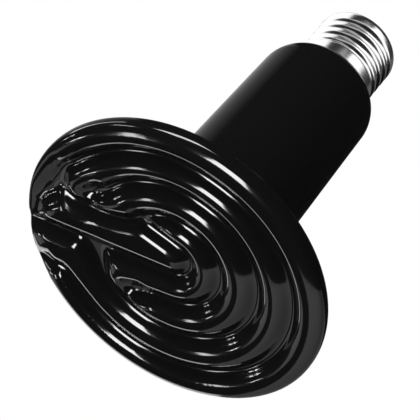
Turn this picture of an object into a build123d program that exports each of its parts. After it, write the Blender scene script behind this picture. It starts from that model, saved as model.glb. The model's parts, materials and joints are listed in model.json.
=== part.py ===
from build123d import *
import math
import os

# Ceramic heat emitter, in millimetres. +Z runs up the axis from the face to the cap.
# The origin is the centre of the face, on the plane that the ridge tops touch.
# Seen from below, X points right and Y points down.

# Disc
disc_radius = 47.5
disc_thickness = 6.6
rim_front_height = 2.6
rim_front_width = 5.0
rim_back_fillet = 4.6

# Neck and shoulder
neck_root_height = 15.5
neck_root_radius = 20.5
neck_root_fillet = 7.0
neck_top_radius = 18.6
shoulder_height = 95.5
shoulder_radius = 9.2

# Hollow of the neck
cavity_floor_height = 18.0
cavity_radius = 14.5
cavity_taper_drop = 6.6
cavity_taper_length = 9.0
stub_bore_radius = 6.8
stub_radius = 11.2
stub_length = 15.5

# Raised track: ridges with round backs and narrow round-bottomed grooves between them
groove_depth = 3.4
ridge_round = 5.2
groove_bottom_round = 1.1
groove_half_width = 5.1
face_overshoot = 2.0
crease_extra_depth = 0.15
floor_extra_depth = 0.3
floor_wall_angle = 40.0
floor_corner_round = 0.7

# Rings of the track, each groove on a centre of its own as the track winds inward
rim_groove_centre = (-0.8, 0.0)
rim_groove_radius = 38.1
middle_groove_centre = (-0.3, -0.9)
middle_groove_radius = 27.0
inner_groove_centre = (-0.3, -1.3)
inner_groove_radius = 15.5
hub_groove_centre = (0.1, -1.9)
hub_groove_radius = 5.7
turn_groove_centre = (-25.8, -22.3)
turn_groove_radius = 5.7

# Straight runs of the grooves
crease_angle = 14.7
crease_overrun = 5.0
hub_return_angle = 215.5
hub_return_length = 13.0
turn_entry_angle = 115.5
turn_entry_length = 5.0
turn_exit_angle = 20.8
turn_exit_length = 6.0

# Ends of the rings: the angle where each arc starts or stops, and the points it runs out to
rim_start_angle = 150
rim_sweep = -255
rim_mouth = (-45.0, 5.5)
rim_mouth_run = 15.05
rim_mouth_round = 6.0
rim_pass = (-37.0, -20.8)
rim_end = (-44.2, -8.0)
middle_start_angle = 160
middle_sweep = -295
middle_start = (-26.6, -3.1)
inner_start_angle = -118
inner_sweep = 223
inner_end = (-16.8, 12.0)

# Flat floors: where grooves fan out the land between them is cut away, and some grooves end in a round pan
fork_floor = [(-29.3, -3.8), (-23.2, -2.2), (-25.7, 8.3)]
rim_floor = [(-31.0, -27.4), (-34.8, -18.9), (-41.6, -15.7), (-39.6, -19.4)]
middle_pan = (-21.0, -21.3)
middle_pan_radius = 2.1
inner_pan = (-16.3, 12.2)
inner_pan_radius = 2.3
mouth_pan_radius = 0.9

# Screw cap, medium Edison size
cap_radius = 13.1
cap_wall = 0.35
thread_pitch = 3.629
thread_depth = 0.95
thread_turns = 4
skirt_length = 4.9
cap_height = 23.5
cap_end_round = 3.2
cap_mouth_radius = 8.9
cap_seat_margin = 0.3

# Cement and insulator
cement_length = 4.0
insulator_plug_radius = 9.6
insulator_plug_length = 2.2
insulator_collar_length = 0.3
insulator_top_radius = 5.4
insulator_height = 3.5
cap_mouth_clearance = 0.05

# Centre contact and its solder
contact_radius = 4.9
contact_thickness = 0.7
contact_edge_round = 0.3
centre_solder_radius = 2.4
centre_solder_height = 1.1

# Leads and the side joint
lead_radius = 0.6
lead_clearance = 0.05
lead_offset = 6.0
lead_socket_depth = 9.0
lead_bend_drop = 5.0
lead_bore_offset = 4.4
lead_bore_rise = 2.0
lead_bend_round = 6.0
lead_turn_round = 2.0
side_joint_drop = 4.1
side_joint_gap = 0.75
side_solder_radius = 1.1
side_solder_setback = 0.2

os.makedirs("parts", exist_ok=True)


def polar(centre, radius, angle):
    """Point at an angle in degrees on a circle in the face plane."""
    turn = math.radians(angle)
    return (centre[0] + radius * math.cos(turn), centre[1] + radius * math.sin(turn))


def direction(angle):
    """Unit direction in the face plane, from an angle in degrees."""
    return polar((0, 0), 1, angle)


# A ridge's back and a groove's bottom are tangent arcs, so one centre distance places both
ridge_rise = ridge_round - (groove_depth - groove_bottom_round)
arc_distance = ridge_round + groove_bottom_round
half_pitch = math.sqrt(arc_distance**2 - ridge_rise**2)
flank_start = (
    groove_bottom_round * half_pitch / arc_distance,
    groove_depth - groove_bottom_round + groove_bottom_round * ridge_rise / arc_distance,
)


def ridge_back(x):
    """Height of a ridge's back above the face plane, at a distance from the groove's middle."""
    return ridge_round - math.sqrt(ridge_round**2 - (half_pitch - x) ** 2)


def groove_outline():
    """Closed outline of the groove's section: round bottom, round flanks, open past the face."""
    top = (groove_half_width, ridge_back(groove_half_width))
    middle_x = (groove_half_width + flank_start[0]) / 2
    middle = (middle_x, ridge_back(middle_x))
    left_start = (-flank_start[0], flank_start[1])
    ThreePointArc(top, middle, flank_start)
    ThreePointArc(flank_start, (0, groove_depth), left_start)
    ThreePointArc(left_start, (-middle[0], middle[1]), (-top[0], top[1]))
    Polyline((-top[0], top[1]), (-top[0], -face_overshoot), (top[0], -face_overshoot), top)


def pan_outline(floor_radius):
    """Closed half section of a round pan: flat floor, round flank, open past the face."""
    depth = groove_depth + floor_extra_depth
    back_centre = floor_radius + math.sqrt(ridge_round**2 - (ridge_round - depth) ** 2)
    back_start = back_centre - (half_pitch - groove_half_width)
    back_middle = (floor_radius + back_start) / 2
    top = (back_start, ridge_round - math.sqrt(ridge_round**2 - (back_centre - back_start) ** 2))
    middle = (back_middle, ridge_round - math.sqrt(ridge_round**2 - (back_centre - back_middle) ** 2))
    Polyline((0, -face_overshoot), (0, depth), (floor_radius, depth))
    ThreePointArc((floor_radius, depth), middle, top)
    Polyline(top, (top[0], -face_overshoot), (0, -face_overshoot))


# Groove round the rim: in from its pan by the edge, round the coil and out to the crease
rim_join = polar(rim_groove_centre, rim_groove_radius, rim_start_angle)
rim_leave = polar(rim_groove_centre, rim_groove_radius, rim_start_angle + rim_sweep)
with BuildLine() as rim_groove:
    rim_corner = polar(rim_join, rim_mouth_run, rim_start_angle + 90)
    FilletPolyline(rim_mouth, rim_corner, rim_join, radius=rim_mouth_round)
    CenterArc(rim_groove_centre, rim_groove_radius, rim_start_angle, rim_sweep)
    run_out = TangentArc(rim_leave, rim_pass, tangent=direction(rim_start_angle + rim_sweep - 90))
    TangentArc(rim_pass, rim_end, tangent=run_out % 1)

# Groove between the two outer rings, from the crease to the first turn of the track
middle_join = polar(middle_groove_centre, middle_groove_radius, middle_start_angle)
with BuildLine() as middle_groove:
    TangentArc(middle_join, middle_start, tangent=direction(middle_start_angle + 90))
    CenterArc(middle_groove_centre, middle_groove_radius, middle_start_angle, middle_sweep)

# Groove between the two inner rings, ending inside the second turn of the track
inner_leave = polar(inner_groove_centre, inner_groove_radius, inner_start_angle + inner_sweep)
with BuildLine() as inner_groove:
    CenterArc(inner_groove_centre, inner_groove_radius, inner_start_angle, inner_sweep)
    TangentArc(inner_leave, inner_end, tangent=direction(inner_start_angle + inner_sweep + 90))

# Straight crease, a little deeper than the rings, from the edge to the hub, then round the end of the centre bar
hub_start = polar(hub_groove_centre, hub_groove_radius, crease_angle + 90)
hub_end = polar(hub_groove_centre, hub_groove_radius, hub_return_angle + 90)
crease_start = polar(hub_start, disc_radius + crease_overrun, crease_angle + 180)
hub_return = polar(hub_end, hub_return_length, hub_return_angle)
with BuildLine(Plane.XY.offset(crease_extra_depth)) as crease:
    Line(crease_start, hub_start)
    CenterArc(hub_groove_centre, hub_groove_radius, crease_angle + 90, hub_return_angle - crease_angle - 360)
    Line(hub_end, hub_return)

# Groove round the outside of the first turn, then along the top of the centre bar
turn_start = polar(turn_groove_centre, turn_groove_radius, turn_entry_angle + 90)
turn_end = polar(turn_groove_centre, turn_groove_radius, turn_exit_angle + 90)
turn_entry = polar(turn_start, turn_entry_length, turn_entry_angle + 180)
turn_run = polar(turn_end, turn_exit_length, turn_exit_angle)
with BuildLine() as turn_groove:
    Line(turn_entry, turn_start)
    CenterArc(turn_groove_centre, turn_groove_radius, turn_entry_angle + 90, turn_exit_angle - turn_entry_angle)
    Line(turn_end, turn_run)
    TangentArc(turn_run, hub_return, tangent=direction(turn_exit_angle))

# The cap's skirt stands on a flat ring that is cut into the round of the shoulder
seat_radius = cap_radius + cap_seat_margin
shoulder_run = seat_radius - (neck_top_radius - shoulder_radius)
seat_height = shoulder_height - shoulder_radius + math.sqrt(shoulder_radius**2 - shoulder_run**2)
stub_top = seat_height + stub_length
cavity_taper_end = seat_height - cavity_taper_drop
cavity_taper_start = cavity_taper_end - cavity_taper_length
socket_floor = cavity_floor_height - lead_socket_depth

# Cast ceramic body: disc, neck, shoulder and the stub that carries the cap
with BuildPart() as ceramic_body:
    with BuildSketch(Plane.XZ):
        with BuildLine():
            Line((0, 0), (disc_radius - rim_front_width, 0))
            EllipticalCenterArc(
                (disc_radius - rim_front_width, rim_front_height),
                rim_front_width,
                rim_front_height,
                270,
                arc_size=90,
            )
            Polyline(
                (disc_radius, rim_front_height),
                (disc_radius, disc_thickness),
                (neck_root_radius, neck_root_height),
                (neck_top_radius, shoulder_height),
                (0, shoulder_height),
                (0, 0),
            )
        make_face()
        fillet(vertices().sort_by_distance((disc_radius, disc_thickness))[0], rim_back_fillet)
        fillet(vertices().sort_by_distance((neck_root_radius, neck_root_height))[0], neck_root_fillet)
        fillet(vertices().sort_by_distance((neck_top_radius, shoulder_height))[0], shoulder_radius)
    revolve(axis=Axis.Z)

    # Flat ring seat for the skirt, and the stub inside it
    with BuildSketch(Plane.XY.offset(seat_height)):
        Circle(neck_top_radius)
        Circle(stub_radius, mode=Mode.SUBTRACT)
    extrude(amount=shoulder_height, mode=Mode.SUBTRACT)
    with BuildSketch(Plane.XY.offset(seat_height)):
        Circle(stub_radius)
    extrude(amount=stub_length)

    # Hollow of the neck, open through the stub
    with BuildSketch(Plane.XZ):
        with BuildLine():
            Polyline(
                (0, cavity_floor_height),
                (cavity_radius, cavity_floor_height),
                (cavity_radius, cavity_taper_start),
                (stub_bore_radius, cavity_taper_end),
                (stub_bore_radius, stub_top),
                (0, stub_top),
                close=True,
            )
        make_face()
    revolve(axis=Axis.Z, mode=Mode.SUBTRACT)

    # Sockets for the two leads in the floor of the hollow
    with BuildSketch(Plane.XY.offset(socket_floor)):
        with Locations((lead_offset, 0), (-lead_offset, 0)):
            Circle(lead_radius + lead_clearance)
    extrude(amount=lead_socket_depth, mode=Mode.SUBTRACT)

    # Grooves of the raised track
    for path in (rim_groove, middle_groove, inner_groove, turn_groove, crease):
        wire = path.wires()[0]
        section = Plane(wire @ 0, x_dir=Vector(0, 0, 1).cross(wire % 0), z_dir=wire % 0)
        with BuildSketch(section):
            with BuildLine():
                groove_outline()
            make_face()
        sweep(path=wire, mode=Mode.SUBTRACT)

    # Round pans at the ends of the grooves
    for place, floor_radius in (
        (rim_mouth, mouth_pan_radius),
        (middle_pan, middle_pan_radius),
        (inner_pan, inner_pan_radius),
    ):
        with BuildSketch(Plane(origin=(*place, 0), x_dir=(1, 0, 0), z_dir=(0, -1, 0))):
            with BuildLine():
                pan_outline(floor_radius)
            make_face()
        revolve(axis=Axis((*place, 0), (0, 0, 1)), mode=Mode.SUBTRACT)

    # Flat floors where grooves fan out
    floor_depth = groove_depth + floor_extra_depth
    for corners in (fork_floor, rim_floor):
        with BuildSketch(Plane.XY.offset(floor_depth)):
            with BuildLine():
                Polyline(*corners, close=True)
            make_face()
            fillet(vertices(), floor_corner_round)
        extrude(amount=-(floor_depth + face_overshoot), taper=-floor_wall_angle, mode=Mode.SUBTRACT)

ceramic_body.part.label = "ceramic_body"
export_step(ceramic_body.part, "parts/ceramic_body.step")

# Rolled cap: skirt, thread, round end and the lip that holds the insulator
cap_end = seat_height + cap_height
thread_slope = 2 * math.degrees(math.atan2(2 * thread_depth, thread_pitch))
thread_round = thread_pitch / 4 / math.sin(math.radians(thread_slope))


def cap_wall_line(inset):
    """Line of the cap's wall from the skirt to the lip, moved inward by an inset."""
    crest_round = thread_round - inset
    valley_round = thread_round + inset
    radius = cap_radius - inset
    line = Line((radius, seat_height), (radius, seat_height + skirt_length))
    for turn in range(thread_turns):
        line = JernArc(line @ 1, line % 1, crest_round, thread_slope)
        line = JernArc(line @ 1, line % 1, valley_round, -2 * thread_slope)
        line = JernArc(line @ 1, line % 1, crest_round, thread_slope)
    line = Line(line @ 1, (radius, cap_end - cap_end_round))
    line = JernArc(line @ 1, line % 1, cap_end_round - inset, 90)
    Line(line @ 1, (cap_mouth_radius, cap_end - inset))


with BuildPart() as screw_shell:
    with BuildSketch(Plane.XZ):
        with BuildLine():
            cap_wall_line(0)
            cap_wall_line(cap_wall)
            Line((cap_radius, seat_height), (cap_radius - cap_wall, seat_height))
            Line((cap_mouth_radius, cap_end), (cap_mouth_radius, cap_end - cap_wall))
        make_face()
    revolve(axis=Axis.Z)

screw_shell.part.label = "screw_shell"
export_step(screw_shell.part, "parts/screw_shell.step")

# Cement that fills the gap between the skirt and the stub
with BuildPart() as cap_cement:
    with BuildSketch(Plane.XY.offset(seat_height)):
        Circle(cap_radius - cap_wall)
        Circle(stub_radius, mode=Mode.SUBTRACT)
    extrude(amount=cement_length)

cap_cement.part.label = "cap_cement"
export_step(cap_cement.part, "parts/cap_cement.step")

# Glass insulator: plug behind the lip, collar through the mouth and a cone up to the contact
insulator_top = cap_end + insulator_height
lead_hole_radius = lead_radius + lead_clearance
collar_radius = cap_mouth_radius - cap_mouth_clearance
with BuildPart() as cap_insulator:
    with BuildSketch(Plane.XZ):
        insulator_corners = [
            (lead_hole_radius, cap_end - cap_wall - insulator_plug_length),
            (insulator_plug_radius, cap_end - cap_wall - insulator_plug_length),
            (insulator_plug_radius, cap_end - cap_wall),
            (collar_radius, cap_end - cap_wall),
            (collar_radius, cap_end + insulator_collar_length),
            (insulator_top_radius, insulator_top),
            (lead_hole_radius, insulator_top),
        ]
        with BuildLine():
            Polyline(*insulator_corners, close=True)
        make_face()
    revolve(axis=Axis.Z)

cap_insulator.part.label = "cap_insulator"
export_step(cap_insulator.part, "parts/cap_insulator.step")

# Contact button on the insulator, with a hole for the live lead
contact_top = insulator_top + contact_thickness
with BuildPart() as centre_contact:
    with BuildSketch(Plane.XY.offset(insulator_top)):
        Circle(contact_radius)
    extrude(amount=contact_thickness)
    fillet(edges().group_by(Axis.Z)[-1], contact_edge_round)
    with BuildSketch(Plane.XY.offset(insulator_top)):
        Circle(lead_hole_radius)
    extrude(amount=contact_thickness, mode=Mode.SUBTRACT)

centre_contact.part.label = "centre_contact"
export_step(centre_contact.part, "parts/centre_contact.step")

# Solder dome over the contact's hole
with BuildPart() as centre_solder:
    with BuildSketch(Plane.XZ):
        with BuildLine():
            rim = (centre_solder_radius, contact_top)
            crown = (0, contact_top + centre_solder_height)
            RadiusArc(rim, crown, -(centre_solder_radius**2 + centre_solder_height**2) / (2 * centre_solder_height))
            Polyline(crown, (0, contact_top), rim)
        make_face()
    revolve(axis=Axis.Z)

centre_solder.part.label = "centre_solder"
export_step(centre_solder.part, "parts/centre_solder.step")


def lead(points, rounds):
    """Round wire along a bent path."""
    with BuildPart() as wire:
        with BuildLine() as path:
            FilletPolyline(*points, radius=rounds)
        with BuildSketch(Plane(points[0], z_dir=(0, 0, 1))):
            Circle(lead_radius)
        sweep(path=path.wires()[0])
    return wire


lead_bend_height = cavity_taper_start - lead_bend_drop
lead_bore_height = cavity_taper_end + lead_bore_rise

# Live lead from its socket up the neck to the centre contact
live_lead = lead(
    [
        (-lead_offset, 0, socket_floor),
        (-lead_offset, 0, lead_bend_height),
        (0, 0, lead_bore_height),
        (0, 0, contact_top),
    ],
    lead_bend_round,
)
live_lead.part.label = "live_lead"
export_step(live_lead.part, "parts/live_lead.step")

# Neutral lead from its socket up the neck, over the stub's edge to the shell
side_joint_height = cap_end - side_joint_drop
side_joint_radius = cap_radius - cap_wall - side_joint_gap
neutral_lead = lead(
    [
        (lead_offset, 0, socket_floor),
        (lead_offset, 0, lead_bend_height),
        (lead_bore_offset, 0, lead_bore_height),
        (lead_bore_offset, 0, side_joint_height),
        (side_joint_radius, 0, side_joint_height),
    ],
    [lead_bend_round, lead_bend_round, lead_turn_round],
)
neutral_lead.part.label = "neutral_lead"
export_step(neutral_lead.part, "parts/neutral_lead.step")

# Solder bead between the neutral lead and the shell
with BuildPart() as side_solder:
    with Locations((side_joint_radius - side_solder_setback, 0, side_joint_height)):
        Sphere(side_solder_radius)
    add(screw_shell.part, mode=Mode.SUBTRACT)
    add(neutral_lead.part, mode=Mode.SUBTRACT)

side_solder.part.label = "side_solder"
export_step(side_solder.part, "parts/side_solder.step")

for piece in (
    ceramic_body,
    screw_shell,
    cap_cement,
    cap_insulator,
    centre_contact,
    centre_solder,
    live_lead,
    neutral_lead,
    side_solder,
):
    print(piece.part.label, len(piece.solids()), round(piece.part.volume, 2), piece.part.is_valid)
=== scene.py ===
import json
import logging
import math
from dataclasses import dataclass, field
from enum import Enum

import bmesh
import bpy
from mathutils import Matrix, Vector
from mathutils.geometry import delaunay_2d_cdt

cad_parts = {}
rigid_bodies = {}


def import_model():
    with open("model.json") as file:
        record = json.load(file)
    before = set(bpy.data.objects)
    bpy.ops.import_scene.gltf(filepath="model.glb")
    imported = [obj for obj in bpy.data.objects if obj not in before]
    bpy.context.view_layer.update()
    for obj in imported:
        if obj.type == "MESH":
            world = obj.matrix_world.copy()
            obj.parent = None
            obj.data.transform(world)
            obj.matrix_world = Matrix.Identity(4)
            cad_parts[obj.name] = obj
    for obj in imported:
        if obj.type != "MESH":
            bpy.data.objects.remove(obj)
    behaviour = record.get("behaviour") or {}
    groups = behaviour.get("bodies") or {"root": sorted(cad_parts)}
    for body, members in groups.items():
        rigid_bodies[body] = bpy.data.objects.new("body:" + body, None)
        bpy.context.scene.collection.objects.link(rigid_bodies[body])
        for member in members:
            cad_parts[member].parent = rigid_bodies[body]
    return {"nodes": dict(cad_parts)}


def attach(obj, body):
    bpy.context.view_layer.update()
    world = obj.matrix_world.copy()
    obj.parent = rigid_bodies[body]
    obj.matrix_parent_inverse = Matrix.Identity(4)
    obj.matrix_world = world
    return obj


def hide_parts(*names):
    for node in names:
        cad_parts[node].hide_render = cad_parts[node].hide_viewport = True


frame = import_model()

log = logging.getLogger("heat_emitter")

MM = 0.001
BODY = "root"
FACE_GLARE = (-0.4985, 0.5645, -0.6579)

Point = tuple[float, float]


def polar(centre: Point, radius: float, angle: float) -> Point:
    """Point at an angle on a circle in the face plane.

    Args:
        centre: Centre of the circle.
        radius: Radius of the circle.
        angle: Angle from +X, in degrees.

    Returns:
        The point, in the centre's units.
    """
    turn = math.radians(angle)
    return (centre[0] + radius * math.cos(turn), centre[1] + radius * math.sin(turn))


class Path:
    """Line of straight runs and arcs in the face plane, in millimetres."""

    step: float = 0.1

    def __init__(self, start: Point) -> None:
        """Starts the line.

        Args:
            start: First point.
        """
        self.points: list[Point] = [start]
        self.heading = 0.0

    def line_to(self, end: Point) -> "Path":
        """Adds a straight run.

        Args:
            end: Last point of the run.

        Returns:
            The path itself.
        """
        begin = self.points[-1]
        self.heading = math.degrees(math.atan2(end[1] - begin[1], end[0] - begin[0]))
        self.points.append(end)
        return self

    def run(self, length: float, heading: float) -> "Path":
        """Adds a straight run of a given length and heading in degrees."""
        return self.line_to(polar(self.points[-1], length, heading))

    def arc(self, centre: Point, sweep: float) -> "Path":
        """Adds an arc about a centre.

        Args:
            centre: Centre of the arc.
            sweep: Angle that it turns through, in degrees, positive from +X towards +Y.

        Returns:
            The path itself.
        """
        begin = self.points[-1]
        radius = math.dist(begin, centre)
        first = math.degrees(math.atan2(begin[1] - centre[1], begin[0] - centre[0]))
        count = max(2, round(abs(math.radians(sweep)) * radius / self.step))
        for number in range(1, count + 1):
            self.points.append(polar(centre, radius, first + sweep * number / count))
        self.heading = first + sweep + math.copysign(90, sweep)
        return self

    def bend_to(self, end: Point) -> "Path":
        """Adds an arc that carries on from the last heading.

        Args:
            end: Last point of the arc.

        Returns:
            The path itself.
        """
        begin = self.points[-1]
        normal = polar((0, 0), 1, self.heading + 90)
        chord = (end[0] - begin[0], end[1] - begin[1])
        side = chord[0] * normal[0] + chord[1] * normal[1]
        radius = (chord[0] ** 2 + chord[1] ** 2) / (2 * side)
        centre = (begin[0] + normal[0] * radius, begin[1] + normal[1] * radius)
        first = math.atan2(begin[1] - centre[1], begin[0] - centre[0])
        last = math.atan2(end[1] - centre[1], end[0] - centre[0])
        turn = math.tau if radius > 0 else -math.tau
        return self.arc(centre, math.degrees(math.fmod(last - first + turn, turn)))


class Tree:
    """Geometry node tree that is put together from short method calls."""

    def __init__(self, name: str) -> None:
        """Makes an empty tree with a geometry input and output.

        Args:
            name: Name of the tree.
        """
        self.group = bpy.data.node_groups.new(name, "GeometryNodeTree")
        self.sockets: dict[str, str] = {}
        self.add_input("Geometry", "NodeSocketGeometry")
        self.group.interface.new_socket("Geometry", in_out="OUTPUT", socket_type="NodeSocketGeometry")
        self.entry = self.group.nodes.new("NodeGroupInput")
        self.exit = self.group.nodes.new("NodeGroupOutput")

    def add_input(self, name: str, kind: str, value: float | None = None) -> None:
        """Adds a named input to the tree.

        Args:
            name: Name of the input.
            kind: Socket type.
            value: Default value, where the type has one.
        """
        socket = self.group.interface.new_socket(name, in_out="INPUT", socket_type=kind)
        if value is not None:
            socket.default_value = value
        self.sockets[name] = socket.identifier

    def given(self, name: str) -> bpy.types.NodeSocket:
        """Socket that carries one of the tree's inputs."""
        return self.entry.outputs[name]

    def node(self, kind: str, settings: dict | None = None, **inputs) -> bpy.types.Node:
        """Adds a node.

        Args:
            kind: Node type.
            settings: Properties of the node.
            **inputs: Values or sockets by input name, with _ for a space.

        Returns:
            The node.
        """
        made = self.group.nodes.new(kind)
        for name, value in (settings or {}).items():
            setattr(made, name, value)
        for name, value in inputs.items():
            self.connect(value, made.inputs[name.replace("_", " ")])
        return made

    def connect(self, value, socket: bpy.types.NodeSocket) -> None:
        """Links a socket, or sets a plain value, on an input socket."""
        if isinstance(value, bpy.types.NodeSocket):
            self.group.links.new(value, socket)
        else:
            socket.default_value = value

    def math(self, operation: str, *values) -> bpy.types.NodeSocket:
        """Adds a math node.

        Args:
            operation: Operation of the node.
            *values: Its values or sockets, in order.

        Returns:
            The result socket.
        """
        made = self.group.nodes.new("ShaderNodeMath")
        made.operation = operation
        for value, socket in zip(values, made.inputs):
            self.connect(value, socket)
        return made.outputs[0]

    def arc_rise(self, radius, offset) -> bpy.types.NodeSocket:
        """Height of a round of a given radius at an offset from its middle."""
        square = self.math("MULTIPLY", radius, radius)
        less = self.math("SUBTRACT", square, self.math("MULTIPLY", offset, offset))
        return self.math("SQRT", self.math("MAXIMUM", less, 0.0))

    def apply(self, source: bpy.types.Object, values: dict) -> bpy.types.Mesh:
        """Runs the tree on an object and keeps the result as a plain mesh.

        Args:
            source: Object that the tree works on.
            values: Values by input name.

        Returns:
            The finished mesh.
        """
        modifier = source.modifiers.new(self.group.name, "NODES")
        modifier.node_group = self.group
        for name, value in values.items():
            modifier[self.sockets[name]] = value
        graph = bpy.context.evaluated_depsgraph_get()
        mesh = bpy.data.meshes.new_from_object(source.evaluated_get(graph))
        source.modifiers.remove(modifier)
        return mesh


def new_object(name: str, mesh: bpy.types.Mesh) -> bpy.types.Object:
    """Adds an object with a mesh to the scene."""
    made = bpy.data.objects.new(name, mesh)
    bpy.context.scene.collection.objects.link(made)
    return made


def finished_mesh(name: str, mesh: bmesh.types.BMesh) -> bpy.types.Mesh:
    """Turns a mesh under construction into a finished one.

    Args:
        name: Name of the finished mesh.
        mesh: Mesh under construction, which is freed.

    Returns:
        The finished mesh.
    """
    data = bpy.data.meshes.new(name)
    mesh.to_mesh(data)
    mesh.free()
    return data


def new_material(name: str) -> tuple:
    """Makes a material with a plain shader.

    Args:
        name: Name of the material.

    Returns:
        The material, its nodes, its links and its shader.
    """
    material = bpy.data.materials.new(name)
    material.use_nodes = True
    nodes = material.node_tree.nodes
    return material, nodes, material.node_tree.links, nodes["Principled BSDF"]


@dataclass(frozen=True)
class Glaze:
    """Black fired glaze: deep gloss with a faint ripple; its flat groove floors get a paler colour, a
    painted reflection of a grey panel.
    """

    color: tuple = (0.003, 0.003, 0.0033, 1)
    # floor_color and the floor_ fields set a painted reflection: a paler grey on the deep, flat groove
    # floors in place of a grey panel seen in the gloss.
    floor_color: tuple = (0.023, 0.023, 0.024, 1)
    floor_depth: tuple = (2.75 * MM, 3.1 * MM)
    floor_end: float = 5.0 * MM
    floor_level: tuple = (0.985, 0.998)
    roughness: float = 0.07
    roughness_spread: float = 0.04
    ripple_scale: float = 140.0
    ripple_height: float = 0.00002
    ripple_detail: float = 2
    ior: float = 1.5

    def share(
        self, nodes: bpy.types.Nodes, links: bpy.types.NodeLinks, value: bpy.types.NodeSocket, ends: tuple
    ) -> bpy.types.NodeSocket:
        """Share from 0 to 1 of a value between two ends, with soft ends.

        Args:
            nodes: Nodes of the material.
            links: Links of the material.
            value: Socket of the value.
            ends: Values at which the share is 0 and 1.

        Returns:
            Socket of the share.
        """
        span = nodes.new("ShaderNodeMapRange")
        span.interpolation_type = "SMOOTHSTEP"
        span.inputs["From Min"].default_value, span.inputs["From Max"].default_value = ends
        links.new(value, span.inputs["Value"])
        return span.outputs["Result"]

    def combine(
        self, nodes: bpy.types.Nodes, links: bpy.types.NodeLinks, operation: str, *values
    ) -> bpy.types.NodeSocket:
        """Adds a math node.

        Args:
            nodes: Nodes of the material.
            links: Links of the material.
            operation: Operation of the node.
            *values: Its two values or sockets, in order.

        Returns:
            The result socket.
        """
        made = nodes.new("ShaderNodeMath")
        made.operation = operation
        for value, socket in zip(values, made.inputs):
            if isinstance(value, bpy.types.NodeSocket):
                links.new(value, socket)
            else:
                socket.default_value = value
        return made.outputs[0]

    def build(self) -> bpy.types.Material:
        """Makes the material."""
        material, nodes, links, shader = new_material("black_glaze")
        shader.inputs["IOR"].default_value = self.ior
        place = nodes.new("ShaderNodeTexCoord")
        apart = nodes.new("ShaderNodeSeparateXYZ")
        links.new(place.outputs["Object"], apart.inputs["Vector"])
        # Painted reflection: the deep groove floors that face straight down take the paler floor colour,
        # which stands in for a grey panel reflected in the glaze.
        deep = self.share(nodes, links, apart.outputs["Z"], self.floor_depth)
        facing = nodes.new("ShaderNodeSeparateXYZ")
        links.new(place.outputs["Normal"], facing.inputs["Vector"])
        down = self.combine(nodes, links, "MULTIPLY", facing.outputs["Z"], -1)
        level = self.share(nodes, links, down, self.floor_level)
        front = self.combine(nodes, links, "LESS_THAN", apart.outputs["Z"], self.floor_end)
        part = self.combine(nodes, links, "MULTIPLY", deep, level)
        reflection_share = self.combine(nodes, links, "MULTIPLY", part, front)
        tone = nodes.new("ShaderNodeMix")
        tone.data_type = "RGBA"
        tone.inputs["A"].default_value = self.color
        tone.inputs["B"].default_value = self.floor_color
        links.new(reflection_share, tone.inputs["Factor"])
        links.new(tone.outputs["Result"], shader.inputs["Base Color"])
        ripple = nodes.new("ShaderNodeTexNoise")
        ripple.inputs["Scale"].default_value = self.ripple_scale
        ripple.inputs["Detail"].default_value = self.ripple_detail
        links.new(place.outputs["Object"], ripple.inputs["Vector"])
        bump = nodes.new("ShaderNodeBump")
        bump.inputs["Distance"].default_value = self.ripple_height
        links.new(ripple.outputs["Fac"], bump.inputs["Height"])
        links.new(bump.outputs["Normal"], shader.inputs["Normal"])
        spread = nodes.new("ShaderNodeMapRange")
        spread.inputs["To Min"].default_value = self.roughness
        spread.inputs["To Max"].default_value = self.roughness + self.roughness_spread
        links.new(ripple.outputs["Fac"], spread.inputs["Value"])
        links.new(spread.outputs["Result"], shader.inputs["Roughness"])
        return material


@dataclass(frozen=True)
class PlatedMetal:
    """Bright plated sheet metal with fine lines from rolling, round the cap."""

    name: str = "plated_metal"
    color: tuple = (0.86, 0.86, 0.87, 1)
    roughness: float = 0.16
    roughness_spread: float = 0.12
    line_scale: float = 1700.0
    line_height: float = 0.000014
    line_squeeze: tuple = (0.14, 0.14, 1)

    def build(self) -> bpy.types.Material:
        """Makes the material."""
        material, nodes, links, shader = new_material(self.name)
        shader.inputs["Base Color"].default_value = self.color
        shader.inputs["Metallic"].default_value = 1
        place = nodes.new("ShaderNodeTexCoord")
        squeeze = nodes.new("ShaderNodeMapping")
        squeeze.inputs["Scale"].default_value = self.line_squeeze
        links.new(place.outputs["Object"], squeeze.inputs["Vector"])
        lines = nodes.new("ShaderNodeTexNoise")
        lines.inputs["Scale"].default_value = self.line_scale
        links.new(squeeze.outputs["Vector"], lines.inputs["Vector"])
        bump = nodes.new("ShaderNodeBump")
        bump.inputs["Distance"].default_value = self.line_height
        links.new(lines.outputs["Fac"], bump.inputs["Height"])
        links.new(bump.outputs["Normal"], shader.inputs["Normal"])
        spread = nodes.new("ShaderNodeMapRange")
        spread.inputs["To Min"].default_value = self.roughness
        spread.inputs["To Max"].default_value = self.roughness + self.roughness_spread
        links.new(lines.outputs["Fac"], spread.inputs["Value"])
        links.new(spread.outputs["Result"], shader.inputs["Roughness"])
        return material


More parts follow.
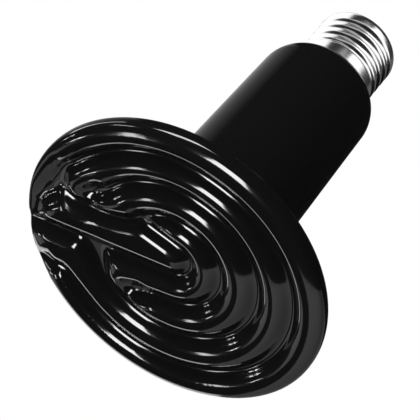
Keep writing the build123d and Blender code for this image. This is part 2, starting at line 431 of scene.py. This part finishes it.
@dataclass(frozen=True)
class GrainyFinish:
    """Finish with a grain in its colour and surface, for cement, glass, solder and wire."""

    name: str
    dark: tuple
    light: tuple
    roughness: float
    grain_scale: float
    grain_height: float
    metallic: float = 0.0
    grain_detail: float = 4

    def build(self) -> bpy.types.Material:
        """Makes the material."""
        material, nodes, links, shader = new_material(self.name)
        shader.inputs["Metallic"].default_value = self.metallic
        shader.inputs["Roughness"].default_value = self.roughness
        place = nodes.new("ShaderNodeTexCoord")
        grain = nodes.new("ShaderNodeTexNoise")
        grain.inputs["Scale"].default_value = self.grain_scale
        grain.inputs["Detail"].default_value = self.grain_detail
        links.new(place.outputs["Object"], grain.inputs["Vector"])
        mix = nodes.new("ShaderNodeMix")
        mix.data_type = "RGBA"
        mix.inputs["A"].default_value = self.dark
        mix.inputs["B"].default_value = self.light
        links.new(grain.outputs["Fac"], mix.inputs["Factor"])
        links.new(mix.outputs["Result"], shader.inputs["Base Color"])
        bump = nodes.new("ShaderNodeBump")
        bump.inputs["Distance"].default_value = self.grain_height
        links.new(grain.outputs["Fac"], bump.inputs["Height"])
        links.new(bump.outputs["Normal"], shader.inputs["Normal"])
        return material


@dataclass
class CoilTrack:
    """Grooves that leave the raised coil track standing on the face, in millimetres."""

    depth: float = 3.4
    ridge_round: float = 5.2
    bottom_round: float = 1.1
    reach: float = 52.5
    soften: float = 0.2
    smoothing: int = 30
    crown_smoothing: float = 2.5
    bottom_weight: float = 0.45
    rim_fade: float = 1.2
    land_span: tuple = (0.8, 4.2)
    front_share: float = 1.5
    rim_groove_radius: float = 38.1
    rim_corner_reach: float = 15.05
    rim_corner_radius: float = 3.2
    middle_groove_radius: float = 27.0
    inner_groove_radius: float = 15.5
    hub_groove_radius: float = 5.7
    turn_groove_radius: float = 5.7

    def paths(self) -> list[Path]:
        """Middle lines of the grooves."""
        rim_centre = (-0.8, 0.0)
        rim_join = polar(rim_centre, self.rim_groove_radius, 150)
        rim_corner = polar(rim_join, self.rim_corner_reach, 240)
        rim = Path((-45.0, 5.5)).line_to(polar(rim_corner, self.rim_corner_radius, 171.8))
        rim.bend_to(polar(rim_corner, self.rim_corner_radius, 60))
        rim.line_to(rim_join).arc(rim_centre, -255).bend_to((-37.0, -20.8)).bend_to((-44.2, -8.0))

        middle_centre = (-0.3, -0.9)
        middle_start = polar(middle_centre, self.middle_groove_radius, 160)
        middle = Path(middle_start).arc(middle_centre, -295)
        middle_entry = Path(middle_start)
        middle_entry.heading = 250.0
        middle_entry.bend_to((-26.6, -3.1))

        inner_centre = (-0.3, -1.3)
        inner = Path(polar(inner_centre, self.inner_groove_radius, -118))
        inner.arc(inner_centre, 223).bend_to((-16.8, 12.0))

        hub_centre = (0.1, -1.9)
        crease_angle = 14.7
        hub_start = polar(hub_centre, self.hub_groove_radius, crease_angle + 90)
        crease = Path(polar(hub_start, self.reach, crease_angle + 180)).line_to(hub_start)
        crease.arc(hub_centre, 215.5 - crease_angle - 360).run(13.0, 215.5)

        turn_centre = (-25.8, -22.3)
        turn_start = polar(turn_centre, self.turn_groove_radius, 205.5)
        turn = Path(polar(turn_start, 5.0, 295.5)).line_to(turn_start).arc(turn_centre, 20.8 - 115.5)
        turn.run(6.0, 20.8).bend_to(crease.points[-1])
        return [rim, middle, middle_entry, inner, crease, turn]

    def floors(self) -> list[list[Point]]:
        """Flat floors between grooves, as corner points."""
        return [
            [(-29.3, -3.8), (-23.2, -2.2), (-25.67, 8.33)],
            [(-31.0, -27.4), (-34.8, -18.9), (-41.6, -15.7), (-39.6, -19.4)],
            [(-23.6, -20.6), (-18.9, -23.2), (-18.0, -21.6), (-21.4, -19.4)],
            [(-18.4, 11.0), (-13.6, 10.8), (-13.2, 13.2), (-17.6, 13.8)],
        ]

    def land(self) -> list[Path]:
        """Line along the flat back of the centre bar, which ends in a tight shoulder."""
        return [Path((-22.0, -10.6)).line_to((-16.0, -9.6)).line_to((-9.8, -9.2)).line_to((-2.0, -4.4))]

    def line_object(self, name: str, paths: list[Path], floors: list[list[Point]]) -> bpy.types.Object:
        """Makes lines and floors as one mesh of edges and faces.

        Args:
            name: Name of the object.
            paths: Lines in the face plane.
            floors: Flat areas, as corner points.

        Returns:
            The object.
        """
        mesh = bmesh.new()
        for path in paths:
            corners = [mesh.verts.new((x * MM, y * MM, 0)) for x, y in path.points]
            for first, second in zip(corners, corners[1:]):
                mesh.edges.new((first, second))
        for floor in floors:
            mesh.faces.new([mesh.verts.new((x * MM, y * MM, 0)) for x, y in floor])
        return new_object(name, finished_mesh(name, mesh))

    def tree(self) -> Tree:
        """Node tree that presses the grooves into the face by distance from their lines."""
        tree = Tree("coil_track")
        tree.add_input("Groove Lines", "NodeSocketObject")
        tree.add_input("Depth", "NodeSocketFloat", self.depth * MM)
        tree.add_input("Ridge Round", "NodeSocketFloat", self.ridge_round * MM)
        tree.add_input("Bottom Round", "NodeSocketFloat", self.bottom_round * MM)
        tree.add_input("Soften", "NodeSocketFloat", self.soften * MM)
        tree.add_input("Crown Smoothing", "NodeSocketFloat", self.crown_smoothing * MM)
        tree.add_input("Bottom Weight", "NodeSocketFloat", self.bottom_weight)
        tree.add_input("Rim Fade", "NodeSocketFloat", self.rim_fade * MM)
        tree.add_input("Land Lines", "NodeSocketObject")
        tree.add_input("Land Start", "NodeSocketFloat", self.land_span[0] * MM)
        tree.add_input("Land End", "NodeSocketFloat", self.land_span[1] * MM)
        tree.add_input("Material", "NodeSocketMaterial")
        depth = tree.given("Depth")
        ridge = tree.given("Ridge Round")
        bottom = tree.given("Bottom Round")

        place = tree.node("GeometryNodeInputPosition").outputs[0]
        apart = tree.node("ShaderNodeSeparateXYZ", Vector=place)
        flat = tree.node("ShaderNodeCombineXYZ", X=apart.outputs["X"], Y=apart.outputs["Y"]).outputs[0]
        lines = tree.node("GeometryNodeObjectInfo", Object=tree.given("Groove Lines")).outputs["Geometry"]
        nearest = []
        for element in ("EDGES", "FACES"):
            probe = tree.node("GeometryNodeProximity", {"target_element": element})
            tree.connect(lines, probe.inputs["Geometry"])
            tree.connect(flat, probe.inputs["Sample Position"])
            nearest.append(probe.outputs["Distance"])
        distance = tree.math("MINIMUM", *nearest)

        rise = tree.math("SUBTRACT", ridge, tree.math("SUBTRACT", depth, bottom))
        gap = tree.math("ADD", ridge, bottom)
        half_pitch = tree.arc_rise(gap, rise)
        flank_start = tree.math("DIVIDE", tree.math("MULTIPLY", bottom, half_pitch), gap)
        from_top = tree.math("MAXIMUM", tree.math("SUBTRACT", half_pitch, distance), 0.0)
        flank = tree.math("SUBTRACT", ridge, tree.arc_rise(ridge, from_top))
        floor = tree.math("ADD", tree.math("SUBTRACT", depth, bottom), tree.arc_rise(bottom, distance))
        on_floor = tree.math("LESS_THAN", distance, flank_start)
        choice = tree.node("GeometryNodeSwitch", {"input_type": "FLOAT"})
        tree.connect(on_floor, choice.inputs["Switch"])
        tree.connect(flank, choice.inputs["False"])
        tree.connect(floor, choice.inputs["True"])
        backs = tree.node("GeometryNodeObjectInfo", Object=tree.given("Land Lines")).outputs["Geometry"]
        to_back = tree.node("GeometryNodeProximity", {"target_element": "EDGES"})
        tree.connect(backs, to_back.inputs["Geometry"])
        tree.connect(flat, to_back.inputs["Sample Position"])
        share = tree.node(
            "ShaderNodeMapRange",
            {"interpolation_type": "SMOOTHSTEP"},
            Value=to_back.outputs["Distance"],
            From_Min=tree.given("Land Start"),
            From_Max=tree.given("Land End"),
        )
        cut = tree.math("MULTIPLY", choice.outputs["Output"], share.outputs["Result"])
        pressed = tree.math("SMOOTH_MAX", apart.outputs["Z"], cut, tree.given("Soften"))
        beyond = tree.math("SUBTRACT", distance, flank_start)
        away = tree.math("DIVIDE", beyond, tree.given("Crown Smoothing"))
        track_weight = tree.math("MAXIMUM", tree.given("Bottom Weight"), tree.math("MINIMUM", away, 1.0))
        rim_fade = tree.given("Rim Fade")
        on_crest = tree.math("SUBTRACT", 1.0, tree.math("DIVIDE", apart.outputs["Z"], rim_fade))
        by_groove = tree.math("DIVIDE", tree.math("SUBTRACT", half_pitch, distance), rim_fade)
        nearer = tree.math("MAXIMUM", on_crest, by_groove)
        near = tree.math("MINIMUM", tree.math("MAXIMUM", nearer, 0.0), 1.0)
        weight = tree.math("MULTIPLY", track_weight, near)
        blur = tree.node("GeometryNodeBlurAttribute", {"data_type": "FLOAT"}, Iterations=self.smoothing)
        tree.connect(pressed, blur.inputs["Value"])
        tree.connect(weight, blur.inputs["Weight"])
        front = tree.math("LESS_THAN", apart.outputs["Z"], tree.math("MULTIPLY", depth, self.front_share))
        height = tree.node("GeometryNodeSwitch", {"input_type": "FLOAT"})
        tree.connect(front, height.inputs["Switch"])
        tree.connect(apart.outputs["Z"], height.inputs["False"])
        tree.connect(blur.outputs["Value"], height.inputs["True"])
        moved = tree.node(
            "ShaderNodeCombineXYZ",
            X=apart.outputs["X"],
            Y=apart.outputs["Y"],
            Z=height.outputs["Output"],
        ).outputs[0]
        pressed_face = tree.node(
            "GeometryNodeSetPosition", Geometry=tree.given("Geometry"), Position=moved
        )
        real = tree.node("GeometryNodeRealizeInstances", Geometry=pressed_face.outputs["Geometry"])
        painted = tree.node(
            "GeometryNodeSetMaterial", Geometry=real.outputs["Geometry"], Material=tree.given("Material")
        )
        tree.connect(painted.outputs["Geometry"], tree.exit.inputs["Geometry"])
        return tree


@dataclass
class CeramicBody:
    """Glazed body: disc with its coil track, tapered neck, shoulder, stub and hollow, in millimetres."""

    disc_radius: float = 47.5
    disc_thickness: float = 6.6
    rim_front_height: float = 2.6
    rim_front_width: float = 5.0
    rim_back_fillet: float = 4.6
    neck_root: Point = (20.5, 15.5)
    neck_root_fillet: float = 7.0
    neck_top: Point = (18.6, 95.5)
    shoulder_radius: float = 9.2
    seat_radius: float = 13.4
    stub_radius: float = 11.2
    stub_length: float = 15.5
    cavity_floor: float = 18.0
    cavity_radius: float = 14.5
    cavity_taper: Point = (79.0, 88.0)
    bore_radius: float = 6.8
    fine_step: float = 0.34
    round_step: float = 0.3
    coarse_step: float = 1.1
    run_step: float = 4.4
    sharp_angle: float = 60.0
    rim_steps: int = 16
    track: CoilTrack = field(default_factory=CoilTrack)

    def rounded(self, before: Point, corner: Point, after: Point, radius: float) -> Path:
        """Corner of the outline with a round on it.

        Args:
            before: A point on the run into the corner.
            corner: The sharp corner.
            after: A point on the run out of the corner.
            radius: Radius of the round.

        Returns:
            Path of the arc alone.
        """
        into = Vector(before) - Vector(corner)
        out = Vector(after) - Vector(corner)
        into.normalize()
        out.normalize()
        cut = radius / math.tan(into.angle(out) / 2)
        start = Vector(corner) + into * cut
        path = Path(tuple(start))
        path.step = self.round_step
        path.heading = math.degrees(math.atan2(-into.y, -into.x))
        return path.bend_to(tuple(Vector(corner) + out * cut))

    def outline(self) -> list[Point]:
        """Half section of the body behind its rim, as radius and height, up to the cavity's middle."""
        rim = (self.disc_radius, self.rim_front_height)
        back = (self.disc_radius, self.disc_thickness)
        points: list[Point] = [rim]
        points += self.rounded(rim, back, self.neck_root, self.rim_back_fillet).points
        points += self.rounded(back, self.neck_root, self.neck_top, self.neck_root_fillet).points
        top_middle = (0, self.neck_top[1])
        shoulder = self.rounded(self.neck_root, self.neck_top, top_middle, self.shoulder_radius)
        points += [point for point in shoulder.points if point[0] > self.seat_radius]
        run = self.seat_radius - (self.neck_top[0] - self.shoulder_radius)
        seat = self.neck_top[1] - self.shoulder_radius + math.sqrt(self.shoulder_radius**2 - run**2)
        top = seat + self.stub_length
        points += [(self.seat_radius, seat), (self.stub_radius, seat), (self.stub_radius, top)]
        points += [(self.bore_radius, top), (self.bore_radius, self.cavity_taper[1])]
        points += [(self.cavity_radius, self.cavity_taper[0]), (self.cavity_radius, self.cavity_floor)]
        points.append((0.0, self.cavity_floor))
        return points

    def spaced(self) -> list[Point]:
        """The outline with its long runs divided."""
        outline = self.outline()
        points = [outline[0]]
        for begin, end in zip(outline, outline[1:]):
            count = max(1, round(math.dist(begin, end) / self.run_step))
            for number in range(1, count + 1):
                part = number / count
                radius = begin[0] + (end[0] - begin[0]) * part
                height = begin[1] + (end[1] - begin[1]) * part
                points.append((radius, height))
        return points

    def ring(self, mesh: bmesh.types.BMesh, radius: float, height: float, step: float) -> list:
        """Adds a ring of points round the axis.

        Args:
            mesh: Mesh that takes the points.
            radius: Radius of the ring.
            height: Height of the ring.
            step: Space between its points.

        Returns:
            The points, or the one point of a ring with no radius.
        """
        if radius < 1e-6:
            return [mesh.verts.new((0, 0, height * MM))]
        count = max(6, round(math.tau * radius / step))
        places = [polar((0, 0), radius, 360 * number / count) for number in range(count)]
        return [mesh.verts.new((x * MM, y * MM, height * MM)) for x, y in places]

    def face(self, mesh: bmesh.types.BMesh, edge: list) -> None:
        """Fills the flat face inside its edge with an even net of triangles."""
        radius = self.disc_radius - self.rim_front_width
        step = self.fine_step
        rise = step * math.sqrt(3) / 2
        rows = int(radius / rise) + 1
        places = [vert.co.to_2d() for vert in edge]
        net = []
        for row in range(-rows, rows + 1):
            for column in range(-rows, rows + 1):
                x, y = (column + row % 2 / 2) * step, row * rise
                if math.hypot(x, y) < radius - step / 2:
                    net.append(mesh.verts.new((x * MM, y * MM, 0)))
        verts = edge + net
        places += [vert.co.to_2d() for vert in net]
        for corners in delaunay_2d_cdt(places, [], [], 0, 1e-9)[2]:
            mesh.faces.new([verts[corner] for corner in corners])

    def blank(self) -> bpy.types.Mesh:
        """Turned blank without its track: a netted face, its round edge, and rings for the rest."""
        mesh = bmesh.new()
        flat = self.disc_radius - self.rim_front_width
        step = self.fine_step * flat / self.disc_radius
        edge = self.ring(mesh, flat, 0, step)
        self.face(mesh, edge)
        rings = [edge]
        for number in range(1, self.rim_steps):
            turn = math.pi / 2 * number / self.rim_steps
            across = flat + self.rim_front_width * math.sin(turn)
            along = self.rim_front_height * (1 - math.cos(turn))
            rings.append(self.ring(mesh, across, along, step * across / flat))
        rings += [self.ring(mesh, radius, height, self.coarse_step) for radius, height in self.spaced()]
        for inner, outer in zip(rings, rings[1:]):
            zip_rings(mesh, inner, outer)
        bmesh.ops.recalc_face_normals(mesh, faces=mesh.faces)
        return finished_mesh("turned_blank", mesh)

    def build(self, glaze: bpy.types.Material) -> bpy.types.Object:
        """Makes the body and puts it in the place of its plain solid.

        Args:
            glaze: Material of the glaze.

        Returns:
            The finished object.
        """
        blank = new_object("turned_blank", self.blank())
        lines = self.track.line_object("groove_lines", self.track.paths(), self.track.floors())
        backs = self.track.line_object("land_lines", self.track.land(), [])
        given = {"Groove Lines": lines, "Land Lines": backs, "Material": glaze}
        mesh = self.track.tree().apply(blank, given)
        for spent in (blank, lines, backs):
            bpy.data.objects.remove(spent)
        mesh.shade_smooth()
        mesh.set_sharp_from_angle(angle=math.radians(self.sharp_angle))
        made = new_object("glazed_body", mesh)
        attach(made, BODY)
        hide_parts("ceramic_body")
        return made


def zip_rings(mesh: bmesh.types.BMesh, inner: list, outer: list) -> None:
    """Fills the band between two rings of points that may differ in number.

    Args:
        mesh: Mesh that holds the points.
        inner: Points of one ring, evenly spaced from angle 0.
        outer: Points of the other ring, evenly spaced from angle 0.
    """
    first = 0
    second = 0
    while first < len(inner) or second < len(outer):
        here = inner[first % len(inner)]
        there = outer[second % len(outer)]
        step_inner = (first + 1) / len(inner) if len(inner) > 1 else math.inf
        step_outer = (second + 1) / len(outer) if len(outer) > 1 else math.inf
        if step_inner <= step_outer:
            corner = inner[(first + 1) % len(inner)]
            first += 1
        else:
            corner = outer[(second + 1) % len(outer)]
            second += 1
        mesh.faces.new((here, there, corner))
        if len(inner) == 1 and second == len(outer):
            break
        if len(outer) == 1 and first == len(inner):
            break


@dataclass
class RolledShell:
    """Screw cap rolled from sheet, with a right-hand thread, in millimetres."""

    radius: float = 13.1
    wall: float = 0.35
    pitch: float = 3.629
    depth: float = 0.95
    turns: int = 4
    skirt: float = 4.9
    seat: float = 94.585
    height: float = 23.5
    end_round: float = 3.2
    mouth: float = 8.9
    around: int = 160
    steps_per_turn: int = 14
    end_steps: int = 8
    fade: float = 0.6
    sharp_angle: float = 50.0

    def wave(self, height: float, turn: float) -> float:
        """Depth of the thread below its crest.

        Args:
            height: Height up the axis.
            turn: Angle round the axis as a share of a full turn.

        Returns:
            Depth in millimetres.
        """
        start = self.seat + self.skirt
        along = (height - start) / self.pitch - turn + 0.5
        slope = 2 * math.atan2(2 * self.depth, self.pitch)
        bend = self.pitch / 4 / math.sin(slope)
        offset = abs(along - round(along)) * self.pitch
        quarter = self.pitch / 4
        if offset < quarter:
            dip = self.depth - (bend - math.sqrt(bend**2 - offset**2))
        else:
            far = self.pitch / 2 - offset
            dip = bend - math.sqrt(bend**2 - far**2)
        low = (height - start) / self.pitch / self.fade
        high = (start + self.turns * self.pitch - height) / self.pitch / self.fade
        ease = min(1.0, max(0.0, low)) * min(1.0, max(0.0, high))
        return dip * ease * ease * (3 - 2 * ease)

    def section(self, turn: float, inset: float) -> list[Point]:
        """Radius and height up the wall at one angle.

        Args:
            turn: Angle round the axis as a share of a full turn.
            inset: How far the line lies inside the outer face.

        Returns:
            Points from the skirt's edge to the mouth's edge.
        """
        end = self.seat + self.height
        start = self.seat + self.skirt
        top = start + self.turns * self.pitch
        radius = self.radius - inset
        points = [(radius, self.seat), (radius, start)]
        steps = self.turns * self.steps_per_turn
        for number in range(1, steps):
            height = start + (top - start) * number / steps
            points.append((radius - self.wave(height, turn), height))
        points.append((radius, end - self.end_round))
        bend = self.end_round - inset
        centre = (self.radius - self.end_round, end - self.end_round)
        for number in range(1, self.end_steps + 1):
            points.append(polar(centre, bend, 90 * number / self.end_steps))
        points.append((self.mouth, end - inset))
        return points

    def build(self, metal: bpy.types.Material) -> bpy.types.Object:
        """Makes the shell and puts it in the place of its plain solid.

        Args:
            metal: Material of the plating.

        Returns:
            The finished object.
        """
        mesh = bmesh.new()
        columns = []
        for number in range(self.around):
            turn = number / self.around
            column = []
            for radius, height in self.section(turn, 0) + self.section(turn, self.wall)[::-1]:
                x, y = polar((0, 0), radius, 360 * turn)
                column.append(mesh.verts.new((x * MM, y * MM, height * MM)))
            columns.append(column)
        for left, right in zip(columns, columns[1:] + columns[:1]):
            for low in range(len(left)):
                high = (low + 1) % len(left)
                mesh.faces.new((left[low], right[low], right[high], left[high]))
        bmesh.ops.recalc_face_normals(mesh, faces=mesh.faces)
        data = finished_mesh("rolled_shell", mesh)
        data.materials.append(metal)
        data.shade_smooth()
        data.set_sharp_from_angle(angle=math.radians(self.sharp_angle))
        made = new_object("rolled_shell", data)
        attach(made, BODY)
        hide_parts("screw_shell")
        return made


class Seen(Enum):
    """Pieces that a light or card shines on."""

    ALL = "all"
    GLAZE = "glazed_pieces"
    METAL = "metal_pieces"


def aim(made: bpy.types.Object, direction: tuple, distance: float) -> None:
    """Places a light in a direction and turns it to the object, with its height towards the glare.

    Args:
        made: The light.
        direction: Direction from the object to the light.
        distance: Distance from the origin in metres.
    """
    away = Vector(direction).normalized()
    across = away.cross(Vector(FACE_GLARE)).normalized()
    turn = Matrix((across, away.cross(across), away)).transposed().to_4x4()
    made.matrix_world = Matrix.Translation(away * distance) @ turn


def pieces_lit(seen: Seen) -> bpy.types.Collection:
    """Collection of the pieces that a light is kept to."""
    return bpy.data.collections.get(seen.value) or bpy.data.collections.new(seen.value)


@dataclass(frozen=True)
class Softbox:
    """Studio light that faces the object, placed by the direction in which it is seen."""

    name: str
    direction: tuple
    size: Point
    level: float
    distance: float = 1.2
    seen: Seen = Seen.ALL

    def build(self) -> bpy.types.Object:
        """Adds the light to the scene."""
        data = bpy.data.lights.new(self.name, "AREA")
        data.shape = "RECTANGLE"
        data.size, data.size_y = self.size
        data.energy = self.level * self.size[0] * self.size[1] * math.pi
        made = bpy.data.objects.new(self.name, data)
        bpy.context.scene.collection.objects.link(made)
        aim(made, self.direction, self.distance)
        if self.seen is not Seen.ALL:
            made.light_linking.receiver_collection = pieces_lit(self.seen)
        return made


@dataclass(frozen=True)
class GlowCard:
    """Flat card lit from behind, which fades from one edge of its outline to the other, in metres."""

    name: str
    corners: tuple
    level: float
    far_level: float
    fade_from: tuple
    fade_to: tuple
    seen: Seen = Seen.ALL

    def build(self) -> bpy.types.Object:
        """Adds the card to the scene."""
        mesh = bmesh.new()
        mesh.faces.new([mesh.verts.new(corner) for corner in self.corners])
        data = finished_mesh(self.name, mesh)
        material, nodes, links, shader = new_material(self.name)
        nodes.remove(shader)
        place = nodes.new("ShaderNodeTexCoord")
        along = Vector(self.fade_to) - Vector(self.fade_from)
        start = nodes.new("ShaderNodeVectorMath")
        start.operation = "SUBTRACT"
        start.inputs[1].default_value = self.fade_from
        links.new(place.outputs["Object"], start.inputs[0])
        part = nodes.new("ShaderNodeVectorMath")
        part.operation = "DOT_PRODUCT"
        part.inputs[1].default_value = along / along.length_squared
        links.new(start.outputs["Vector"], part.inputs[0])
        level = nodes.new("ShaderNodeMapRange")
        level.inputs["To Min"].default_value = self.level
        level.inputs["To Max"].default_value = self.far_level
        links.new(part.outputs["Value"], level.inputs["Value"])
        glow = nodes.new("ShaderNodeEmission")
        links.new(level.outputs["Result"], glow.inputs["Strength"])
        links.new(glow.outputs["Emission"], nodes["Material Output"].inputs["Surface"])
        data.materials.append(material)
        made = new_object(self.name, data)
        made.visible_camera = False
        made.visible_transmission = False
        made.visible_shadow = False
        if self.seen is not Seen.ALL:
            made.light_linking.receiver_collection = pieces_lit(self.seen)
        return made


@dataclass
class Studio:
    """Floor, white surroundings, black flags, lights and the camera."""

    camera_place: tuple = (0.3471, -0.3960, -0.4336)
    camera_right: tuple = (0.85310, 0.18477, 0.48790)
    camera_up: tuple = (-0.15389, -0.80449, 0.57370)
    camera_forward: tuple = (-0.49854, 0.56449, 0.65790)
    lens: float = 210.0
    sensor_width: float = 36.0
    clip_start: float = 0.01
    floor_color: tuple = (0.86, 0.86, 0.86, 1)
    floor_roughness: float = 0.9
    floor_reach: float = 6.0
    fill_level: float = 0.9
    flag_color: tuple = (0.01, 0.01, 0.01, 1)
    flag_distance: float = 3.0
    flag_detail: int = 4
    wall_radius: float = 1.5
    wall_arc: tuple = (-108, 29, 4)
    wall_cut: tuple = ((-0.45, 0.7), (-0.45, -0.1))
    lamp_size: Point = (0.022, 0.05)
    lamp_level: float = 40
    lamps: tuple = (
        (-0.703, 0.210, -0.679),
        (-0.722, 0.233, -0.651),
        (-0.870, -0.079, -0.487),
        (-0.897, -0.027, -0.441),
    )

    def camera(self) -> None:
        """Adds the camera at the photograph's angle."""
        data = bpy.data.cameras.new("camera")
        data.lens = self.lens
        data.sensor_width = self.sensor_width
        data.clip_start = self.clip_start
        made = bpy.data.objects.new("camera", data)
        bpy.context.scene.collection.objects.link(made)
        back = [-value for value in self.camera_forward]
        turn = Matrix((self.camera_right, self.camera_up, back)).transposed().to_4x4()
        made.matrix_world = Matrix.Translation(self.camera_place) @ turn
        bpy.context.scene.camera = made

    def world(self) -> None:
        """Makes the surroundings white to the eye and to gloss, and dimmer as a light."""
        world = bpy.data.worlds.new("surroundings")
        bpy.context.scene.world = world
        world.use_nodes = True
        nodes = world.node_tree.nodes
        links = world.node_tree.links
        background = nodes["Background"]
        background.inputs["Color"].default_value = (1, 1, 1, 1)
        path = nodes.new("ShaderNodeLightPath")
        seen = nodes.new("ShaderNodeMath")
        seen.operation = "MAXIMUM"
        links.new(path.outputs["Is Camera Ray"], seen.inputs[0])
        links.new(path.outputs["Is Glossy Ray"], seen.inputs[1])
        through = nodes.new("ShaderNodeMath")
        through.operation = "MAXIMUM"
        links.new(seen.outputs[0], through.inputs[0])
        links.new(path.outputs["Is Transmission Ray"], through.inputs[1])
        level = nodes.new("ShaderNodeMapRange")
        level.inputs["To Min"].default_value = self.fill_level
        level.inputs["To Max"].default_value = 1
        links.new(through.outputs[0], level.inputs["Value"])
        links.new(level.outputs["Result"], background.inputs["Strength"])

    def floor(self) -> None:
        """Adds a floor that shows from above only, so that the face can be seen from below."""
        mesh = bmesh.new()
        bmesh.ops.create_grid(mesh, x_segments=1, y_segments=1, size=self.floor_reach)
        data = finished_mesh("floor", mesh)
        material, nodes, links, shader = new_material("floor")
        shader.inputs["Base Color"].default_value = self.floor_color
        shader.inputs["Roughness"].default_value = self.floor_roughness
        path = nodes.new("ShaderNodeLightPath")
        side = nodes.new("ShaderNodeNewGeometry")
        above = nodes.new("ShaderNodeMath")
        above.operation = "SUBTRACT"
        above.use_clamp = True
        links.new(path.outputs["Is Camera Ray"], above.inputs[0])
        links.new(side.outputs["Backfacing"], above.inputs[1])
        clear = nodes.new("ShaderNodeBsdfTransparent")
        mix = nodes.new("ShaderNodeMixShader")
        links.new(above.outputs[0], mix.inputs["Fac"])
        links.new(clear.outputs[0], mix.inputs[1])
        links.new(shader.outputs[0], mix.inputs[2])
        links.new(mix.outputs[0], nodes["Material Output"].inputs["Surface"])
        data.materials.append(material)
        new_object("floor", data)

    def flags(self) -> None:
        """Adds the black cloth round the set, which only gloss can see."""
        mesh = bmesh.new()
        bmesh.ops.create_icosphere(mesh, subdivisions=self.flag_detail, radius=self.flag_distance)
        data = finished_mesh("black_flags", mesh)
        material, _, _, shader = new_material("black_cloth")
        shader.inputs["Base Color"].default_value = self.flag_color
        shader.inputs["Roughness"].default_value = 1
        data.materials.append(material)
        made = new_object("black_flags", data)
        made.visible_camera = False
        made.visible_diffuse = False
        made.visible_transmission = False
        made.visible_shadow = False

    def wall(self) -> tuple:
        """Outline of the pale wall beside the object, cut off on its left."""
        arc = [polar((0, 0), self.wall_radius, angle) for angle in range(*self.wall_arc)]
        return tuple((x, 1.0, z) for x, z in arc + list(self.wall_cut))

    def lights(self) -> None:
        """Adds the lights and cards."""
        for direction in self.lamps:
            Softbox("lamp", direction, self.lamp_size, self.lamp_level, seen=Seen.GLAZE).build()
        for light in (
            Softbox("key", (-0.05, -0.07, -1), (0.26, 0.5), 22, seen=Seen.GLAZE),
            Softbox("strip_low", (-0.55, 0.21, -0.80), (0.07, 0.3), 13, seen=Seen.GLAZE),
            Softbox("strip_high", (-0.64, -0.63, -0.45), (0.3, 0.09), 14, seen=Seen.GLAZE),
            Softbox("rim_right", (-0.03, -1.0, 0.05), (0.4, 0.9), 16, seen=Seen.GLAZE),
            Softbox("rim_left", (-0.85, -0.47, 0.23), (0.12, 0.9), 10, seen=Seen.GLAZE),
            GlowCard("wall", self.wall(), 0.8, 0.33, (0, 1, -1.2), (0, 1, -0.3), Seen.GLAZE),
            GlowCard(
                "backdrop",
                ((-1.7, 1.0, -0.25), (-0.47, 1.0, -0.25), (-0.47, 1.0, 0.7), (-1.7, 1.0, 0.7)),
                2.2,
                2.2,
                (0, 1, 0),
                (0, 1, 1),
                Seen.GLAZE,
            ),
            GlowCard(
                "side_card",
                (
                    (-1.1, 1.0, -0.5),
                    (-1.25, 1.0, -1.15),
                    (-1.7, 1.0, -1.75),
                    (-2.4, 1.0, -2.1),
                    (-2.4, 1.0, -0.5),
                ),
                0.7,
                0.7,
                (0, 1, 0),
                (0, 1, 1),
                Seen.GLAZE,
            ),
            GlowCard(
                "back_card",
                ((-1.2, 0.9, 0.2), (-1.2, 0.9, 1.8), (-1.2, -1.1, 1.8), (-1.2, -1.1, 0.2)),
                0.5,
                0.03,
                (-1.2, 0.7, 1),
                (-1.2, -1.0, 1),
                Seen.GLAZE,
            ),
            Softbox("cap_left", (-0.75, -0.25, 0.3), (2.4, 2.4), 1.2, seen=Seen.METAL),
            Softbox("cap_right", (0.8, -0.1, 0.25), (1.3, 2.4), 1.4, seen=Seen.METAL),
            Softbox("cap_middle", (0.25, -1, 0.3), (0.9, 1.6), 0.45, seen=Seen.METAL),
            Softbox("cap_back", (0.1, 0.8, 0.5), (1.4, 1.2), 0.1, seen=Seen.METAL),
        ):
            light.build()

    def build(self) -> None:
        """Adds everything round the object."""
        bpy.context.scene.view_settings.view_transform = "Standard"
        self.camera()
        self.world()
        self.floor()
        self.flags()
        self.lights()


def dress(node: str, material: bpy.types.Material, seen: Seen = Seen.GLAZE) -> None:
    """Gives a carried-over node its finish.

    Args:
        node: Name of the node.
        material: Its finish.
        seen: Group of lights that shines on it.
    """
    piece = frame["nodes"][node]
    piece.data.materials.clear()
    piece.data.materials.append(material)
    pieces_lit(seen).objects.link(piece)
    log.info("%s: %s", node, material.name)


def main() -> None:
    """Builds the studio and the object."""
    logging.basicConfig(level=logging.INFO)
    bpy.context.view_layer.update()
    Studio().build()
    glaze = Glaze().build()
    metal = PlatedMetal().build()
    body = CeramicBody().build(glaze)
    pieces_lit(Seen.GLAZE).objects.link(body)
    log.info("body: %s, %d faces", body.name, len(body.data.polygons))
    cap = RolledShell().build(metal)
    pieces_lit(Seen.METAL).objects.link(cap)
    log.info("cap: %s, %d faces", cap.name, len(cap.data.polygons))
    glass = GrainyFinish(
        "black_glass", (0.004, 0.003, 0.006, 1), (0.01, 0.008, 0.014, 1), 0.12, 300, 0.00001
    )
    cement = GrainyFinish("cement", (0.42, 0.4, 0.36, 1), (0.62, 0.6, 0.55, 1), 0.9, 1500, 0.00008)
    solder = GrainyFinish(
        "solder", (0.5, 0.5, 0.52, 1), (0.72, 0.72, 0.74, 1), 0.35, 900, 0.00004, 1.0
    )
    wire = GrainyFinish(
        "lead_wire", (0.4, 0.39, 0.37, 1), (0.55, 0.54, 0.52, 1), 0.4, 2000, 0.00001, 1.0
    )
    dress("cap_cement", cement.build())
    dress("cap_insulator", glass.build())
    dress("centre_contact", metal, Seen.METAL)
    soldered = solder.build()
    dress("centre_solder", soldered, Seen.METAL)
    dress("side_solder", soldered)
    wired = wire.build()
    dress("live_lead", wired)
    dress("neutral_lead", wired)


if __name__ == "__main__":
    main()
